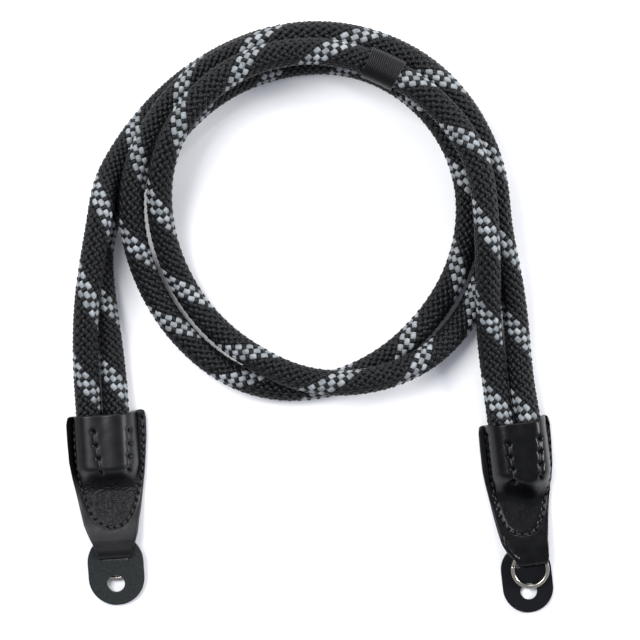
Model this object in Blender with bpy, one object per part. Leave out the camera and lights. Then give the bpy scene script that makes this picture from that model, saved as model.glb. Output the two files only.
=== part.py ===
"""Camera strap of two braided ropes between two leather ends, laid in a coil on a table.

World axes: +X right and +Y away from the leather ends, seen from above, and +Z up.
The origin is on the table, midway between the two leather ends.
Sizes are in millimetres in the tables and names below, and MM turns them to metres.
"""

from collections import namedtuple
import math

import bmesh
import bpy
import numpy as np
from mathutils import Matrix, Vector

MM = 0.001

# Clearance between pieces that touch
GAP = 0.3

# Rope
ROPE_D = 10.6
ROPE_R = ROPE_D / 2

# Leather walls
LEATHER = 1.5
FLANGE = 2 * LEATHER
PROTECTOR_T = 1.4

# Split rings
RING_WIRE = 1.6
RING_H = 1.7
RING_GROOVE = 0.25
RING_SEGMENTS = 48

# Pocket that holds both ropes
ROPE_SPACING = 11.2
POCKET_DEPTH = 22.0
POCKET_END = 25.5
POCKET_STEP = 2.6
POCKET_TOP = 2 * LEATHER + ROPE_D + 2 * GAP

# Loop of leather that holds the ring and the protector's strip
RING_RISE = 0.9
LOOP_TOP = 2 * LEATHER + RING_H + RING_RISE + PROTECTOR_T + 2 * GAP
LOOP_RISE = 7.5
LOOP_LENGTH = 9.4
FOLD_WIDTH = 10.4
FOLD_LENGTH = 4.6
SLIT_LIP = 0.8

# Whipping round rope_1, between two turns of the coil in degrees
WHIP_T = 0.6
WHIP_FROM = 376.1
WHIP_TO = 387.9
WHIP_SIDES = 24

# Coil: its centre, and the turns between which it is sampled
COIL_X = 3.6
COIL_Y = 118.9
COIL_FROM = -92
COIL_TO = 448
COIL_STEP = 12
LEG_STEPS = 6

# Routes of the ropes' centre lines, chosen by hand.
# Leg rows: x, y, z. Coil rows: turn in degrees clockwise from +Y, radius, height.
ROPE_1_LEFT = (
    (-88.6, 22.5, 7.1),
    (-89.6, 38.0, 7.1),
    (-90.6, 54.3, 9.0),
    (-90.8, 68.6, 12.4),
    (-89.8, 86.8, 16.0),
    (-87.2, 105.0, 17.4),
)
ROPE_1_COIL = (
    (-89, 88.3, 17.2),
    (-80, 87.0, 14.0),
    (-70, 84.2, 8.8),
    (-58, 81.1, 5.8),
    (-38, 77.9, 5.4),
    (-4, 76.8, 5.4),
    (38, 76.1, 5.4),
    (80, 73.7, 5.4),
    (110, 71.8, 5.4),
    (126, 71.6, 6.2),
    (138, 71.1, 9.4),
    (150, 69.7, 14.0),
    (162, 67.8, 16.8),
    (176, 65.7, 17.2),
    (190, 63.3, 15.4),
    (202, 61.3, 12.2),
    (216, 60.3, 7.8),
    (232, 60.2, 5.6),
    (248, 61.0, 6.8),
    (264, 62.8, 11.6),
    (280, 65.1, 18.4),
    (295, 67.1, 23.8),
    (314, 68.4, 26.2),
    (338, 68.7, 26.6),
    (362, 67.6, 26.2),
    (382, 66.3, 25.8),
    (404, 66.7, 26.2),
    (429, 67.8, 27.2),
)
ROPE_1_RIGHT = (
    (71.1, 119.7, 27.2),
    (72.0, 102.1, 24.4),
    (72.5, 86.0, 17.6),
    (73.9, 67.3, 9.6),
    (77.1, 43.5, 7.2),
    (79.8, 22.5, 7.1),
)
ROPE_2_LEFT = (
    (-77.4, 22.5, 7.1),
    (-78.4, 38.0, 7.1),
    (-79.7, 54.2, 5.7),
    (-81.9, 72.6, 5.4),
    (-84.6, 93.0, 5.4),
    (-84.7, 109.8, 5.4),
)
ROPE_2_COIL = (
    (-87, 83.9, 5.4),
    (-78, 76.4, 5.4),
    (-66, 70.9, 5.4),
    (-50, 68.0, 5.4),
    (-26, 65.8, 5.4),
    (10, 65.4, 5.4),
    (45, 64.3, 5.4),
    (75, 62.5, 5.4),
    (100, 60.5, 5.4),
    (120, 59.7, 5.4),
    (138, 60.3, 5.4),
    (155, 62.5, 5.4),
    (175, 66.2, 5.4),
    (195, 69.9, 5.4),
    (214, 71.6, 5.4),
    (234, 72.2, 5.6),
    (250, 73.2, 7.8),
    (264, 74.7, 12.6),
    (276, 75.9, 16.6),
    (288, 76.5, 17.6),
    (308, 76.4, 17.2),
    (332, 75.4, 17.0),
    (360, 75.5, 16.8),
    (388, 75.0, 16.8),
    (412, 74.1, 16.8),
    (434, 73.5, 16.8),
)
ROPE_2_RIGHT = (
    (76.7, 120.8, 17.2),
    (78.9, 107.1, 16.6),
    (82.3, 90.9, 11.2),
    (84.8, 72.6, 6.6),
    (86.6, 54.2, 6.0),
    (89.0, 38.8, 7.1),
    (91.1, 22.5, 7.1),
)

# The two leather ends. Each has its own frame: its origin in the middle of the pocket's mouth,
# its -Y along the leather to the ring, and its X across it. Lengths named past are measured
# from the nose of the leather.
End = namedtuple("End", (
    "name mouth_x mouth_y turn_deg length half_width outline pocket_shift rope_end face_up "
    "ring_r ring_past ring_shift protector_half protector_past protector_shift hole_r hole_past hole_shift"
))

# Outline rows: share of the length from the mouth, then the left and the right edge
# as shares of the half width.
LEFT_OUTLINE = (
    (0.00, 0.955, 0.955),
    (0.025, 1.0, 1.0),
    (0.15, 1.0, 0.985),
    (0.31, 0.99, 0.925),
    (0.42, 0.93, 0.87),
    (0.52, 0.865, 0.815),
    (0.64, 0.785, 0.74),
    (0.75, 0.70, 0.66),
    (0.82, 0.61, 0.61),
    (0.89, 0.50, 0.55),
    (0.95, 0.425, 0.49),
    (1.00, 0.40, 0.46),
)
RIGHT_OUTLINE = (
    (0.00, 0.96, 0.94),
    (0.025, 1.0, 0.98),
    (0.15, 1.015, 0.975),
    (0.30, 1.02, 0.945),
    (0.40, 0.98, 0.93),
    (0.45, 0.95, 0.83),
    (0.52, 0.92, 0.76),
    (0.64, 0.86, 0.67),
    (0.75, 0.79, 0.59),
    (0.82, 0.74, 0.555),
    (0.88, 0.66, 0.54),
    (0.94, 0.49, 0.52),
    (1.00, 0.31, 0.46),
)

LEFT = End(
    name="left", mouth_x=-83.3, mouth_y=39.4, turn_deg=3.6, length=58.6, half_width=16.4,
    outline=LEFT_OUTLINE, pocket_shift=-0.8, rope_end=20.6, face_up=False,
    ring_r=7.1, ring_past=1.0, ring_shift=0.2, protector_half=11.4, protector_past=18.8,
    protector_shift=0.0, hole_r=3.6, hole_past=10.0, hole_shift=0.0,
)
RIGHT = End(
    name="right", mouth_x=83.6, mouth_y=35.7, turn_deg=7.0, length=58.2, half_width=14.6,
    outline=RIGHT_OUTLINE, pocket_shift=0.2, rope_end=20.6, face_up=True,
    ring_r=7.1, ring_past=1.2, ring_shift=-0.5, protector_half=10.7, protector_past=18.8,
    protector_shift=-2.5, hole_r=3.4, hole_past=10.1, hole_shift=-2.0,
)

# Sections over the pocket, as shares of its length
MOUTH_SHARES = (0.0, 0.03, 0.12, 0.35, 0.63, 0.88, 1.0)

# Cross-section of the pocket's hump: shares of its half width, where its top is sampled
HUMP_SHARES = (0.30, 0.55, 0.72, 0.84, 0.92, 0.965, 0.99)
HUMP_POWER = 5.0
HUMP_ROOT = 2.0
HUMP_MARGIN = 0.2
EDGE_ROUND = 0.4

# Colours and finishes from the photograph
ROPE_COLOUR = (0.025, 0.026, 0.028, 1.0)
THREAD_COLOUR = (0.012, 0.012, 0.013, 1.0)
LEATHER_COLOUR = (0.012, 0.012, 0.013, 1.0)
SUEDE_COLOUR = (0.022, 0.027, 0.026, 1.0)
STEEL_COLOUR = (0.33, 0.31, 0.29, 1.0)


def clear_scene():
    for old in list(bpy.data.objects):
        bpy.data.objects.remove(old, do_unlink=True)


def material(name, colour, roughness, metallic=0.0):
    made = bpy.data.materials.new(name)
    made.use_nodes = True
    shader = made.node_tree.nodes["Principled BSDF"]
    shader.inputs["Base Color"].default_value = colour
    shader.inputs["Roughness"].default_value = roughness
    shader.inputs["Metallic"].default_value = metallic
    return made


def add_object(name, data, finish=None, parent=None):
    made = bpy.data.objects.new(name, data)
    bpy.context.scene.collection.objects.link(made)
    made.parent = parent
    if finish is not None:
        data.materials.append(finish)
    return made


def mesh_from(name, points, faces):
    """Mesh in metres from points in millimetres, with its normals facing out."""
    mesh = bpy.data.meshes.new(name)
    mesh.from_pydata([tuple(MM * c for c in p) for p in points], [], faces)
    work = bmesh.new()
    work.from_mesh(mesh)
    bmesh.ops.recalc_face_normals(work, faces=work.faces)
    work.to_mesh(mesh)
    work.free()
    mesh.update()
    return mesh


def loft(rings):
    """Points and faces of a closed body through rings of equal count, capped at both ends."""
    count = len(rings[0])
    points = [p for ring in rings for p in ring]
    faces = []
    for r in range(len(rings) - 1):
        for i in range(count):
            j = (i + 1) % count
            faces.append((r * count + i, r * count + j, (r + 1) * count + j, (r + 1) * count + i))
    last = (len(rings) - 1) * count
    faces.append(tuple(range(count)))
    faces.append(tuple(range(last, last + count)))
    return points, faces


def shade(obj, angle_deg=35):
    obj.data.shade_smooth()
    obj.data.set_sharp_from_angle(angle=math.radians(angle_deg))


def cutter(name, points, faces, parent):
    made = add_object(name, mesh_from(name, points, faces), parent=parent)
    made.hide_render = True
    made.display_type = "WIRE"
    return made


def cut(obj, tool):
    step = obj.modifiers.new("cut_" + tool.name, "BOOLEAN")
    step.operation = "DIFFERENCE"
    step.solver = "EXACT"
    step.object = tool


# Ropes

def coil_point(turn, radius, height):
    angle = math.radians(turn)
    return (COIL_X + radius * math.sin(angle), COIL_Y + radius * math.cos(angle), height)


def smooth_curve(points, count=6000):
    """Natural cubic spline through the points, as an array of close samples."""
    p = np.array(points, float)
    chord = np.linalg.norm(np.diff(p, axis=0), axis=1) ** 0.5
    knots = np.concatenate([[0.0], np.cumsum(chord)])
    h = np.diff(knots)
    size = len(p)
    matrix = np.zeros((size, size))
    right = np.zeros((size, 3))
    matrix[0, 0] = 1.0
    matrix[-1, -1] = 1.0
    for i in range(1, size - 1):
        matrix[i, i - 1:i + 2] = (h[i - 1], 2 * (h[i - 1] + h[i]), h[i])
        right[i] = 6 * ((p[i + 1] - p[i]) / h[i] - (p[i] - p[i - 1]) / h[i - 1])
    bend = np.linalg.solve(matrix, right)
    u = np.linspace(0.0, knots[-1], count)
    k = np.clip(np.searchsorted(knots, u, side="right") - 1, 0, size - 2)
    w = (u - knots[k])[:, None]
    hk = h[k][:, None]
    slope = (p[k + 1] - p[k]) / hk - hk * (2 * bend[k] + bend[k + 1]) / 6
    return p[k] + slope * w + bend[k] / 2 * w ** 2 + (bend[k + 1] - bend[k]) / (6 * hk) * w ** 3


def rope_stations(left, coil, right, left_end_y, right_end_y):
    """Centre-line points: even steps of y on the legs and even turns on the coil,
    so that strands that lie side by side have their points side by side too."""
    route = list(left) + [coil_point(*row) for row in coil] + list(right)
    first = np.array(route[0]) + (np.array(route[0]) - np.array(route[1])) * 0.7
    last = np.array(route[-1]) + (np.array(route[-1]) - np.array(route[-2])) * 0.7
    line = smooth_curve([tuple(first)] + route + [tuple(last)])
    turn = np.degrees(np.unwrap(np.arctan2(line[:, 0] - COIL_X, line[:, 1] - COIL_Y)))
    on_coil = np.arange(COIL_FROM, COIL_TO + 1, COIL_STEP)
    coil_points = np.stack([np.interp(on_coil, turn, line[:, c]) for c in range(3)], axis=1)
    half = len(line) // 2
    up = line[:half]
    up = up[:int(np.argmax(up[:, 1])) + 1]
    left_y = np.linspace(left_end_y, coil_points[0, 1], LEG_STEPS + 1)[:-1]
    left_points = np.stack([np.interp(left_y, up[:, 1], up[:, c]) for c in range(3)], axis=1)
    down = line[half:]
    down = down[int(np.argmax(down[:, 1])):][::-1]
    right_y = np.linspace(coil_points[-1, 1], right_end_y, LEG_STEPS + 1)[1:]
    right_points = np.stack([np.interp(right_y, down[:, 1], down[:, c]) for c in range(3)], axis=1)
    return np.concatenate([left_points, coil_points, right_points])


def end_y(end):
    """World y of the rope's end inside the pocket."""
    return end.mouth_y - end.rope_end * math.cos(math.radians(end.turn_deg))


def make_rope(name, left, coil, right, finish):
    stations = rope_stations(left, coil, right, end_y(LEFT), end_y(RIGHT))
    curve = bpy.data.curves.new(name, "CURVE")
    curve.dimensions = "3D"
    curve.bevel_depth = ROPE_R * MM
    curve.bevel_resolution = 4
    curve.use_fill_caps = True
    spline = curve.splines.new("POLY")
    spline.points.add(len(stations) - 1)
    for point, place in zip(spline.points, stations):
        point.co = (place[0] * MM, place[1] * MM, place[2] * MM, 1.0)
    spline.use_smooth = True
    add_object(name, curve, finish)
    return stations


def circle(radius, sides):
    angles = [2 * math.pi * i / sides for i in range(sides)]
    return [(radius * math.cos(a), radius * math.sin(a)) for a in angles]


def make_whipping(stations, finish):
    """Sleeve on the straight stretch of rope between two of its coil points."""
    index = LEG_STEPS + int((WHIP_FROM - COIL_FROM) // COIL_STEP)
    start = Vector(stations[index])
    end = Vector(stations[index + 1])
    base_turn = COIL_FROM + (index - LEG_STEPS) * COIL_STEP
    axis = end - start
    from_share = (WHIP_FROM - base_turn) / COIL_STEP
    to_share = (WHIP_TO - base_turn) / COIL_STEP
    spin = axis.to_track_quat("Z", "Y").to_matrix()
    inner = circle(ROPE_R + GAP, WHIP_SIDES)
    outer = circle(ROPE_R + GAP + WHIP_T, WHIP_SIDES)
    loops = []
    for share, ring in ((from_share, inner), (from_share, outer), (to_share, outer), (to_share, inner)):
        centre = start + axis * share
        loops.append([tuple(centre + spin @ Vector((x, y, 0.0))) for x, y in ring])
    points = [p for ring in loops for p in ring]
    faces = []
    for r in range(4):
        s = (r + 1) % 4
        for i in range(WHIP_SIDES):
            j = (i + 1) % WHIP_SIDES
            faces.append((r * WHIP_SIDES + i, r * WHIP_SIDES + j, s * WHIP_SIDES + j, s * WHIP_SIDES + i))
    shade(add_object("whipping", mesh_from("whipping", points, faces), finish))


# Leather ends

def smoothstep(low, high, value):
    t = min(max((value - low) / (high - low), 0.0), 1.0)
    return t * t * (3 - 2 * t)


def loop_flat_from(end):
    """Where the loop has reached its full height, along the leather."""
    return end.length - LOOP_LENGTH


def nose_centre(end):
    return end.length - LOOP_TOP / 2


def edge_height(end, along):
    rise = smoothstep(loop_flat_from(end) - LOOP_RISE, loop_flat_from(end), along)
    return FLANGE + (LOOP_TOP - FLANGE) * rise


def hump_height(end, along):
    down = smoothstep(POCKET_END, POCKET_END + POCKET_STEP, along)
    return (POCKET_TOP - FLANGE) * (1.0 - down)


def outline_at(end, along):
    share = along / end.length
    rows = np.array(end.outline)
    left = np.interp(share, rows[:, 0], rows[:, 1]) * end.half_width
    right = np.interp(share, rows[:, 0], rows[:, 2]) * end.half_width
    return -left, right


def pocket_half_width():
    return ROPE_SPACING / 2 + ROPE_R + GAP


def hump_half_width():
    return pocket_half_width() + LEATHER + HUMP_MARGIN


def leather_section(end, along, low, high):
    """One cross-section: flat underside, rounded edges, flanges and the hump over the ropes."""
    left, right = outline_at(end, along)
    hump = hump_height(end, along)
    middle = end.pocket_shift
    soft = min(EDGE_ROUND, 0.3 * (high - low))
    half = min(hump_half_width(), middle - left - soft - HUMP_MARGIN, right - soft - middle - HUMP_MARGIN)
    ring = [(left + soft, low), (middle, low), (right - soft, low), (right, low + soft), (right, high - soft)]
    ring.append((right - soft, high))
    for share in reversed(HUMP_SHARES):
        rise = (1.0 - share ** HUMP_POWER) ** (1.0 / HUMP_ROOT)
        ring.append((middle + share * half, high + hump * rise))
    ring.append((middle, high + hump))
    for share in HUMP_SHARES:
        rise = (1.0 - share ** HUMP_POWER) ** (1.0 / HUMP_ROOT)
        ring.append((middle - share * half, high + hump * rise))
    ring += [(left + soft, high), (left, high - soft), (left, low + soft)]
    return [(x, -along, z) for x, z in ring]


def leather_stations(end):
    """Places along the leather, closer together where its height changes."""
    step_from = POCKET_END
    rise_from = loop_flat_from(end) - LOOP_RISE
    places = [step_from * share for share in MOUTH_SHARES]
    places += [step_from + POCKET_STEP * share for share in (0.25, 0.5, 0.75, 1.0)]
    places += [(step_from + POCKET_STEP + rise_from) / 2]
    places += [rise_from + LOOP_RISE * share for share in (0.0, 0.25, 0.5, 0.75, 1.0)]
    places += [(loop_flat_from(end) + nose_centre(end)) / 2]
    return sorted(places)


def leather_rings(end):
    rings = [leather_section(end, along, 0.0, edge_height(end, along)) for along in leather_stations(end)]
    radius = LOOP_TOP / 2
    for angle in (0, 22, 42, 60, 75, 86):
        turn = math.radians(angle)
        along = nose_centre(end) + radius * math.sin(turn)
        rings.append(leather_section(end, along, radius - radius * math.cos(turn), radius + radius * math.cos(turn)))
    return rings


def pocket_tool(end, frame):
    """Room for both ropes: two half circles and the flat between them, from outside the mouth."""
    half = ROPE_SPACING / 2
    radius = ROPE_R + GAP
    height = LEATHER + radius
    section = []
    for i in range(13):
        turn = math.pi * i / 12 - math.pi / 2
        section.append((half + radius * math.cos(turn), height + radius * math.sin(turn)))
    for i in range(13):
        turn = math.pi * i / 12 + math.pi / 2
        section.append((-half + radius * math.cos(turn), height + radius * math.sin(turn)))
    rings = [[(end.pocket_shift + x, y, z) for x, z in section] for y in (LEATHER, -POCKET_DEPTH)]
    points, faces = loft(rings)
    return cutter(end.name + "_pocket_room", points, faces, frame)


def prism_across(name, side, reach, frame, middle=0.0):
    """Body of a side outline of y and z, drawn out across the leather by reach each way."""
    rings = [[(x, y, z) for y, z in side] for x in (middle - reach, middle + reach)]
    points, faces = loft(rings)
    return cutter(name, points, faces, frame)


def loop_tool(end, frame):
    """Room inside the loop, with a round front end and a wedge at the back."""
    radius = LOOP_TOP / 2 - LEATHER
    middle = LOOP_TOP / 2
    front = nose_centre(end)
    back = loop_flat_from(end)
    side = [(-back, LEATHER), (-(back - LOOP_RISE * 0.62), LEATHER), (-(back - LOOP_RISE * 0.62), LEATHER + GAP)]
    side.append((-back, LOOP_TOP - LEATHER))
    for i in range(9):
        turn = math.pi / 2 - math.pi * i / 8
        side.append((-(front + radius * math.cos(turn)), middle + radius * math.sin(turn)))
    return prism_across(end.name + "_loop_room", side, end.half_width * 1.5, frame)


def ring_room_tools(end, frame):
    """Cuts beside the fold, under the top layer, where the ring leaves the loop."""
    tools = []
    for sign, word in ((-1, "left"), (1, "right")):
        inner = end.ring_shift + sign * FOLD_WIDTH / 2
        outer = inner + sign * end.half_width
        far = -(end.length + LEATHER)
        near = -(end.length - FOLD_LENGTH)
        rings = [
            [(x, near, -LEATHER), (x, near, LOOP_TOP - LEATHER), (x, far, LOOP_TOP - LEATHER), (x, far, -LEATHER)]
            for x in (inner, outer)
        ]
        points, faces = loft(rings)
        tools.append(cutter(f"{end.name}_ring_room_{word}", points, faces, frame))
    return tools


def make_leather_end(end, frame, finish):
    points, faces = loft(leather_rings(end))
    name = end.name + "_leather_end"
    body = add_object(name, mesh_from(name, points, faces), finish, frame)
    for tool in ring_room_tools(end, frame) + [loop_tool(end, frame), pocket_tool(end, frame)]:
        cut(body, tool)
    shade(body)


# Rings and protectors

def ring_along(end):
    return end.length + end.ring_past


def protector_end(end):
    return end.length + end.protector_past


def hole_along(end):
    return end.length + end.hole_past


def ring_plane(end):
    """Height of the ring's middle at its near end and its fall per millimetre along the leather."""
    exit_along = ring_along(end) - 0.5 * end.ring_r
    far = ring_along(end) + end.ring_r
    under_loop = LEATHER
    under_far = 0.0
    if end.face_up:
        under_loop += PROTECTOR_T + GAP
        under_far = PROTECTOR_T + GAP
    exit_height = under_loop + GAP + RING_H / 2
    far_height = under_far + GAP / 2 + RING_H / 2
    fall = (exit_height - far_height) / (far - exit_along)
    return exit_height, exit_along, fall


def ring_height(end, along):
    height, exit_along, fall = ring_plane(end)
    return height - fall * (along - exit_along)


def make_ring(end, frame, finish):
    """Turned ring with a groove where its two coils of wire meet."""
    half = RING_WIRE / 2
    tall = RING_H / 2
    section = [
        (-half, -0.55 * tall), (-0.5 * half, -tall), (0.5 * half, -tall), (half, -0.55 * tall),
        (half, -0.12 * tall), (half - RING_GROOVE, 0.0), (half, 0.12 * tall), (half, 0.55 * tall),
        (0.5 * half, tall), (-0.5 * half, tall), (-half, 0.55 * tall), (-half, -0.0),
    ]
    points = []
    for s in range(RING_SEGMENTS):
        turn = 2 * math.pi * s / RING_SEGMENTS
        for x, z in section:
            radius = end.ring_r + x
            points.append((radius * math.cos(turn), radius * math.sin(turn), z))
    faces = []
    count = len(section)
    for s in range(RING_SEGMENTS):
        t = (s + 1) % RING_SEGMENTS
        for i in range(count):
            j = (i + 1) % count
            faces.append((s * count + i, s * count + j, t * count + j, t * count + i))
    name = end.name + "_split_ring"
    ring = add_object(name, mesh_from(name, points, faces), finish, frame)
    fall = ring_plane(end)[2]
    ring.location = (end.ring_shift * MM, -ring_along(end) * MM, ring_height(end, ring_along(end)) * MM)
    ring.rotation_euler = (math.atan(fall), 0.0, 0.0)
    shade(ring, 50)


def protector_underside(end, along):
    """Height of the protector's lower face: level in the loop, then down to the table."""
    if end.face_up:
        level = LEATHER + GAP
        bent_from = ring_along(end) - 0.7 * end.ring_r
        far = ring_along(end) + end.ring_r
        return level + (GAP / 2 - level) * smooth_ramp(bent_from, far, along)
    top_of_ring = RING_H / 2 + GAP
    over_near = ring_height(end, ring_along(end) - end.ring_r) + top_of_ring
    far = ring_along(end) + end.ring_r + RING_WIRE / 2
    if along <= far:
        return min(over_near, ring_height(end, along) + top_of_ring)
    over_far = ring_height(end, far) + top_of_ring
    share = (along - far) / (protector_end(end) - far)
    return over_far + (GAP / 2 - over_far) * share


def smooth_ramp(low, high, value):
    return min(max((value - low) / (high - low), 0.0), 1.0)


def protector_half(end, along):
    """Half width of a strip with round ends, whose top is cut straight."""
    radius = end.protector_half
    upper = end.length
    lower = protector_end(end) - radius
    if along < upper:
        return math.sqrt(max(radius ** 2 - (upper - along) ** 2, 0.0))
    if along > lower:
        return math.sqrt(max(radius ** 2 - (along - lower) ** 2, 0.0))
    return radius


def protector_stations(end):
    first = loop_flat_from(end) + GAP
    lower = protector_end(end) - end.protector_half
    places = list(np.linspace(first, end.length, 8)) + list(np.linspace(end.length, lower, 5))[1:]
    for angle in (10, 20, 30, 40, 50, 60, 70, 78, 84):
        places.append(lower + end.protector_half * math.sin(math.radians(angle)))
    return places


def make_protector(end, frame, finish):
    rings = []
    for along in protector_stations(end):
        half = protector_half(end, along)
        low = protector_underside(end, along)
        left = end.protector_shift - half
        right = end.protector_shift + half
        high = low + PROTECTOR_T
        rings.append([(left, -along, low), (right, -along, low), (right, -along, high), (left, -along, high)])
    points, faces = loft(rings)
    name = end.name + "_protector"
    body = add_object(name, mesh_from(name, points, faces), finish, frame)
    hole = [[(end.hole_shift + x, -hole_along(end) + y, z) for x, y in circle(end.hole_r, 32)] for z in (-LOOP_TOP, 2 * LOOP_TOP)]
    points, faces = loft(hole)
    cut(body, cutter(name + "_hole", points, faces, frame))
    near = nose_centre(end) + SLIT_LIP
    far = end.length + GAP
    low = -LOOP_TOP
    high = 2 * LOOP_TOP
    side = [(-near, low), (-far, low), (-far, high), (-near, high)]
    slit = prism_across(name + "_slit", side, FOLD_WIDTH / 2 + 2 * GAP, frame, end.ring_shift)
    cut(body, slit)
    shade(body)


def make_end(end, finishes):
    frame = bpy.data.objects.new(end.name + "_end_frame", None)
    bpy.context.scene.collection.objects.link(frame)
    frame.location = (end.mouth_x * MM, end.mouth_y * MM, 0.0)
    frame.rotation_euler = (0.0, 0.0, math.radians(end.turn_deg))
    make_leather_end(end, frame, finishes["leather"])
    make_ring(end, frame, finishes["steel"])
    make_protector(end, frame, finishes["suede"])


def main():
    clear_scene()
    rope_finish = material("braided_polyester", ROPE_COLOUR, 0.75)
    finishes = {
        "leather": material("black_leather", LEATHER_COLOUR, 0.35),
        "suede": material("leather_flesh_side", SUEDE_COLOUR, 0.9),
        "steel": material("nickel_plated_steel", STEEL_COLOUR, 0.25, 1.0),
    }
    stations = make_rope("rope_1", ROPE_1_LEFT, ROPE_1_COIL, ROPE_1_RIGHT, rope_finish)
    make_rope("rope_2", ROPE_2_LEFT, ROPE_2_COIL, ROPE_2_RIGHT, rope_finish)
    make_whipping(stations, material("waxed_thread", THREAD_COLOUR, 0.55))
    for end in (LEFT, RIGHT):
        make_end(end, finishes)


main()
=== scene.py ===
# %% [markdown]
# # A coiled camera strap
# The strap is two braided ropes, whipped with thread once, that end in two tabs of black leather.
# Each tab folds round a split ring and holds a round leather protector.
# The solid model gives every piece its place, so it is loaded first, and nothing is fitted by eye.

# %% Load the frame
import math

import bmesh
import bpy
import numpy as np
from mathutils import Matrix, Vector


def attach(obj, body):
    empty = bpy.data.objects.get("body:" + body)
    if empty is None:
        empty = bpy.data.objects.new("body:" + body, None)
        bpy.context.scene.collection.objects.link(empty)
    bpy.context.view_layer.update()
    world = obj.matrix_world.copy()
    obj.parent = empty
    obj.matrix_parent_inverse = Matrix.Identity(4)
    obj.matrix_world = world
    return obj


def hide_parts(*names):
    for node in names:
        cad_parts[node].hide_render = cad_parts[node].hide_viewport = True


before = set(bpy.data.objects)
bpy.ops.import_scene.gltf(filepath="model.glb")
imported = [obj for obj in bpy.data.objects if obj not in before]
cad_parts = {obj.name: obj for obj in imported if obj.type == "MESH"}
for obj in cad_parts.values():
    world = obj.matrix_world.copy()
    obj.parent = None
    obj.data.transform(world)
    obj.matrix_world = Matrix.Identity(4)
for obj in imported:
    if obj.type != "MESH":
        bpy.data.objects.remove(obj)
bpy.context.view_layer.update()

MM = 0.001
print("nodes:", ", ".join(sorted(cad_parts)))

# %% [markdown]
# ## Camera
# The strap lies on a table and is seen from straight above, so the camera looks down -Z.
# A picture that is 262.4 mm wide at the table, seen from 1.3 m, needs a long lens.
# The long distance keeps the coil's top strands nearly as wide as the lowest ones.

# %% Camera
CAMERA_HEIGHT = 1.3  # m
VIEW_CENTRE = (0.00443, 0.07872)  # m
VIEW_WIDTH = 0.2624  # m, at the table
SENSOR = 36.0  # mm

camera_data = bpy.data.cameras.new("camera")
camera_data.sensor_width = SENSOR
camera_data.lens = SENSOR * CAMERA_HEIGHT / VIEW_WIDTH
camera = bpy.data.objects.new("camera", camera_data)
camera.location = (VIEW_CENTRE[0], VIEW_CENTRE[1], CAMERA_HEIGHT)
bpy.context.scene.collection.objects.link(camera)
bpy.context.scene.camera = camera
print("lens", round(camera_data.lens, 1), "mm")

# %% [markdown]
# ## Routes of the two ropes
# A rope keeps its length and bends smoothly, so its route is a few listed points,
# with one smooth curve through them. On the coil a point is easier to give by its turn round
# the coil's centre, its radius and its height than by x, y and z.

# %% Route points, in metres; the coil's are (turn in degrees, radius, height)
COIL_X = 0.0036
COIL_Y = 0.1189

ROPE_1_LEFT = (
    (-0.0886, 0.0225, 0.0071), (-0.0896, 0.0380, 0.0071), (-0.0906, 0.0543, 0.0090),
    (-0.0908, 0.0686, 0.0124), (-0.0898, 0.0868, 0.0160), (-0.0872, 0.1050, 0.0174),
)
ROPE_1_COIL = (
    (-89, 0.0883, 0.0172), (-80, 0.0870, 0.0140), (-70, 0.0842, 0.0088), (-58, 0.0811, 0.0058),
    (-38, 0.0779, 0.0054), (-4, 0.0768, 0.0054), (38, 0.0761, 0.0054), (80, 0.0737, 0.0054),
    (110, 0.0718, 0.0054), (126, 0.0716, 0.0062), (138, 0.0711, 0.0094), (150, 0.0697, 0.0140),
    (162, 0.0678, 0.0168), (176, 0.0657, 0.0172), (190, 0.0633, 0.0154), (202, 0.0613, 0.0122),
    (216, 0.0603, 0.0078), (232, 0.0602, 0.0056), (248, 0.0610, 0.0068), (264, 0.0628, 0.0116),
    (280, 0.0651, 0.0184), (295, 0.0671, 0.0238), (314, 0.0684, 0.0262), (338, 0.0687, 0.0266),
    (362, 0.0676, 0.0262), (382, 0.0663, 0.0258), (404, 0.0667, 0.0262), (429, 0.0678, 0.0272),
)
ROPE_1_RIGHT = (
    (0.0711, 0.1197, 0.0272), (0.0720, 0.1021, 0.0244), (0.0725, 0.0860, 0.0176),
    (0.0739, 0.0673, 0.0096), (0.0771, 0.0435, 0.0072), (0.0798, 0.0225, 0.0071),
)
ROPE_2_LEFT = (
    (-0.0774, 0.0225, 0.0071), (-0.0784, 0.0380, 0.0071), (-0.0797, 0.0542, 0.0057),
    (-0.0819, 0.0726, 0.0054), (-0.0846, 0.0930, 0.0054), (-0.0847, 0.1098, 0.0054),
)
ROPE_2_COIL = (
    (-87, 0.0839, 0.0054), (-78, 0.0764, 0.0054), (-66, 0.0709, 0.0054), (-50, 0.0680, 0.0054),
    (-26, 0.0658, 0.0054), (10, 0.0654, 0.0054), (45, 0.0643, 0.0054), (75, 0.0625, 0.0054),
    (100, 0.0605, 0.0054), (120, 0.0597, 0.0054), (138, 0.0603, 0.0054), (155, 0.0625, 0.0054),
    (175, 0.0662, 0.0054), (195, 0.0699, 0.0054), (214, 0.0716, 0.0054), (234, 0.0722, 0.0056),
    (250, 0.0732, 0.0078), (264, 0.0747, 0.0126), (276, 0.0759, 0.0166), (288, 0.0765, 0.0176),
    (308, 0.0764, 0.0172), (332, 0.0754, 0.0170), (360, 0.0755, 0.0168), (388, 0.0750, 0.0168),
    (412, 0.0741, 0.0168), (434, 0.0735, 0.0168),
)
ROPE_2_RIGHT = (
    (0.0767, 0.1208, 0.0172), (0.0789, 0.1071, 0.0166), (0.0823, 0.0909, 0.0112),
    (0.0848, 0.0726, 0.0066), (0.0866, 0.0542, 0.0060), (0.0890, 0.0388, 0.0071),
    (0.0911, 0.0225, 0.0071),
)
LEFT_ROPE_END_Y = 0.0188
RIGHT_ROPE_END_Y = 0.0152
RUN_ON = 0.7  # share of the first and last step that the curve runs on past its end points


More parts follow.
